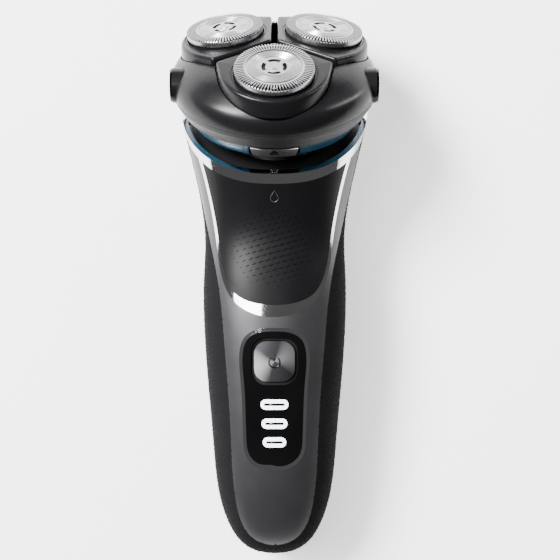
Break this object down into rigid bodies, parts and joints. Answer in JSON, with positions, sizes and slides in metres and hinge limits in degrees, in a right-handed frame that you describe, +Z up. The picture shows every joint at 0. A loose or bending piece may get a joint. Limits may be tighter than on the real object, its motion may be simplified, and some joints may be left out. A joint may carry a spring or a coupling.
{
  "type": "electric shaver",
  "caption": "Rotary electric shaver: rubber-backed handle with control inlay, pivoting neck, flip-open head with floating slotted guards and spinning cutters, pop-up trimmer.",
  "frame": {"origin": "middle of the shaver as it lies on its back, on the surface it rests on", "axes": "+X across, +Y along the handle from tail to head, +Z up out of the front face"},
  "size_m": [0.063, 0.1699, 0.0596],
  "materials": {
    "rubber_shell": "fine raised texture",
    "gunmetal": "satin metallic",
    "grip_black": "satin",
    "inlay_black": "gloss",
    "chrome_trim": "bright",
    "spun_metal": "radially spun",
    "head_black": "satin",
    "base_black": "satin",
    "ring_blue": "tinted",
    "button_grey": "satin",
    "guard_steel": "polished, slotted",
    "steel": "bright",
    "gear_white": "moulded",
    "frame_plastic": "moulded",
    "cell_wrap": "shrink wrap",
    "tab_nickel": "rolled",
    "board_green": "solder mask",
    "seal_rubber": "moulded",
    "light_white": "lit",
    "magnet": "sintered",
    "brass_pin": "turned"
  },
  "bodies": {
    "handle": {"rear_housing": "rubber_shell", "front_panel": "gunmetal", "grip_panel": "grip_black", "grip_trim": "chrome_trim", "neck_trim": "chrome_trim", "neck_collar": "base_black", "control_bezel": "chrome_trim", "control_lens": "inlay_black", "charge_lights": "light_white", "button_seal": "seal_rubber", "inner_frame": "frame_plastic", "housing_screws": "steel", "battery_cell": "cell_wrap", "battery_tabs": "tab_nickel", "circuit_board": "board_green", "tact_switch": "base_black", "indicator_leds": "light_white", "power_inlet": "base_black", "inlet_pins": "brass_pin", "motor_can": "steel", "motor_magnets": "magnet", "motor_mount": "frame_plastic", "pitch_pins": "steel", "trimmer_pin": "steel"},
    "button": {"power_button": "spun_metal"},
    "rotor": {"motor_rotor": "steel", "drive_coupling": "steel"},
    "gimbal": {"gimbal_ring": "frame_plastic"},
    "head": {"head_base": "base_black", "color_ring": "ring_blue", "gear_cover": "base_black", "roll_pins": "steel", "latch_spring": "steel", "spindle_springs": "steel", "cover_hinge_pin": "steel"},
    "release": {"release_button": "button_grey"},
    "central_wheel": {"central_gear": "gear_white"},
    "cover": {"head_cover": "head_black", "side_badge_left": "inlay_black", "side_badge_right": "inlay_black"},
    "trimmer": {"trimmer_housing": "head_black", "trimmer_comb": "steel"},
    "trimmer_cutter": {"trimmer_blade": "steel"},
    "trimmer_catch": {"trimmer_slide": "head_black"},
    "spindle_drive_front": {"spindle_front": "gear_white"},
    "lobe_front": {"petal_front": "head_black", "retainer_front": "gear_white"},
    "shield_front": {"guard_front": "guard_steel"},
    "blades_front": {"cutter_front": "steel"},
    "spindle_drive_right": {"spindle_right": "gear_white"},
    "lobe_right": {"petal_right": "head_black", "retainer_right": "gear_white"},
    "shield_right": {"guard_right": "guard_steel"},
    "blades_right": {"cutter_right": "steel"},
    "spindle_drive_left": {"spindle_left": "gear_white"},
    "lobe_left": {"petal_left": "head_black", "retainer_left": "gear_white"},
    "shield_left": {"guard_left": "guard_steel"},
    "blades_left": {"cutter_left": "steel"}
  },
  "joints": [
    {"name": "power_button_press", "type": "slide", "parent": "handle", "child": "button", "axis": [0, 0, -1], "range_m": [0, 0.0006], "stiffness_N_per_m": 600, "springref_m": -0.001},
    {"name": "motor_spin", "type": "hinge", "parent": "handle", "child": "rotor", "pos_m": [0, 0.05173, 0.02125], "axis": [0, 0.9848, 0.1736], "continuous": true},
    {"name": "head_pitch", "type": "hinge", "parent": "handle", "child": "gimbal", "pos_m": [0, 0.05173, 0.02125], "axis": [1, 0, 0], "range_deg": [-4, 4], "stiffness_Nm_per_rad": 2},
    {"name": "head_roll", "type": "hinge", "parent": "gimbal", "child": "head", "pos_m": [0, 0.05173, 0.02125], "axis": [0, 0.6018, -0.7986], "range_deg": [-4, 4], "stiffness_Nm_per_rad": 2},
    {"name": "release_press", "type": "slide", "parent": "head", "child": "release", "axis": [0, 0.6018, -0.7986], "range_m": [0, 0.0009], "stiffness_N_per_m": 500, "springref_m": -0.002},
    {"name": "central_gear_spin", "type": "hinge", "parent": "head", "child": "central_wheel", "pos_m": [0, 0.05868, 0.02649], "axis": [0, 0.7986, 0.6018], "continuous": true},
    {"name": "cover_open", "type": "hinge", "parent": "head", "child": "cover", "pos_m": [0, 0.08025, 0.00243], "axis": [-1, 0, 0], "range_deg": [0, 100]},
    {"name": "spindle_front_spin", "type": "hinge", "parent": "head", "child": "spindle_drive_front", "pos_m": [0, 0.04857, 0.0399], "axis": [0, 0.7986, 0.6018], "continuous": true},
    {"name": "petal_front_tilt", "type": "hinge", "parent": "cover", "child": "lobe_front", "pos_m": [0, 0.0583, 0.04723], "axis": [1, 0, 0], "range_deg": [-3, 3], "stiffness_Nm_per_rad": 0.1},
    {"name": "guard_front_float", "type": "slide", "parent": "lobe_front", "child": "shield_front", "axis": [0, -0.7071, -0.7071], "range_m": [0, 0.0008], "stiffness_N_per_m": 400, "springref_m": -0.0015},
    {"name": "cutter_front_spin", "type": "hinge", "parent": "shield_front", "child": "blades_front", "pos_m": [0, 0.0583, 0.04723], "axis": [0, 0.7071, 0.7071], "continuous": true},
    {"name": "spindle_right_spin", "type": "hinge", "parent": "head", "child": "spindle_drive_right", "pos_m": [0.01455, 0.06373, 0.01978], "axis": [0, 0.7986, 0.6018], "continuous": true},
    {"name": "petal_right_tilt", "type": "hinge", "parent": "cover", "child": "lobe_right", "pos_m": [0.01455, 0.07346, 0.02711], "axis": [-0.5, 0.5212, -0.6916], "range_deg": [-3, 3], "stiffness_Nm_per_rad": 0.1},
    {"name": "guard_right_float", "type": "slide", "parent": "lobe_right", "child": "shield_right", "axis": [-0.1205, -0.8327, -0.5404], "range_m": [0, 0.0008], "stiffness_N_per_m": 400, "springref_m": -0.0015},
    {"name": "cutter_right_spin", "type": "hinge", "parent": "shield_right", "child": "blades_right", "pos_m": [0.01455, 0.07346, 0.02711], "axis": [0.1205, 0.8327, 0.5404], "continuous": true},
    {"name": "spindle_left_spin", "type": "hinge", "parent": "head", "child": "spindle_drive_left", "pos_m": [-0.01455, 0.06373, 0.01978], "axis": [0, 0.7986, 0.6018], "continuous": true},
    {"name": "petal_left_tilt", "type": "hinge", "parent": "cover", "child": "lobe_left", "pos_m": [-0.01455, 0.07346, 0.02711], "axis": [-0.5, -0.5212, 0.6916], "range_deg": [-3, 3], "stiffness_Nm_per_rad": 0.1},
    {"name": "guard_left_float", "type": "slide", "parent": "lobe_left", "child": "shield_left", "axis": [0.1205, -0.8327, -0.5404], "range_m": [0, 0.0008], "stiffness_N_per_m": 400, "springref_m": -0.0015},
    {"name": "cutter_left_spin", "type": "hinge", "parent": "shield_left", "child": "blades_left", "pos_m": [-0.01455, 0.07346, 0.02711], "axis": [-0.1205, 0.8327, 0.5404], "continuous": true},
    {"name": "trimmer_swing", "type": "hinge", "parent": "handle", "child": "trimmer", "pos_m": [0, 0.01779, 0.0025], "axis": [-1, 0, 0], "range_deg": [0, 70]},
    {"name": "trimmer_blade_stroke", "type": "slide", "parent": "trimmer", "child": "trimmer_cutter", "axis": [1, 0, 0], "range_m": [-0.001, 0.001]},
    {"name": "trimmer_catch_slide", "type": "slide", "parent": "handle", "child": "trimmer_catch", "axis": [0, 1, 0], "range_m": [0, 0.0025], "stiffness_N_per_m": 200, "springref_m": -0.001}
  ],
  "couplings": [
    {"joint": "central_gear_spin", "follows": "motor_spin", "ratio": 1},
    {"joint": "spindle_front_spin", "follows": "motor_spin", "ratio": -1.3333},
    {"joint": "cutter_front_spin", "follows": "motor_spin", "ratio": -1.3333},
    {"joint": "spindle_right_spin", "follows": "motor_spin", "ratio": -1.3333},
    {"joint": "cutter_right_spin", "follows": "motor_spin", "ratio": -1.3333},
    {"joint": "spindle_left_spin", "follows": "motor_spin", "ratio": -1.3333},
    {"joint": "cutter_left_spin", "follows": "motor_spin", "ratio": -1.3333}
  ]
}
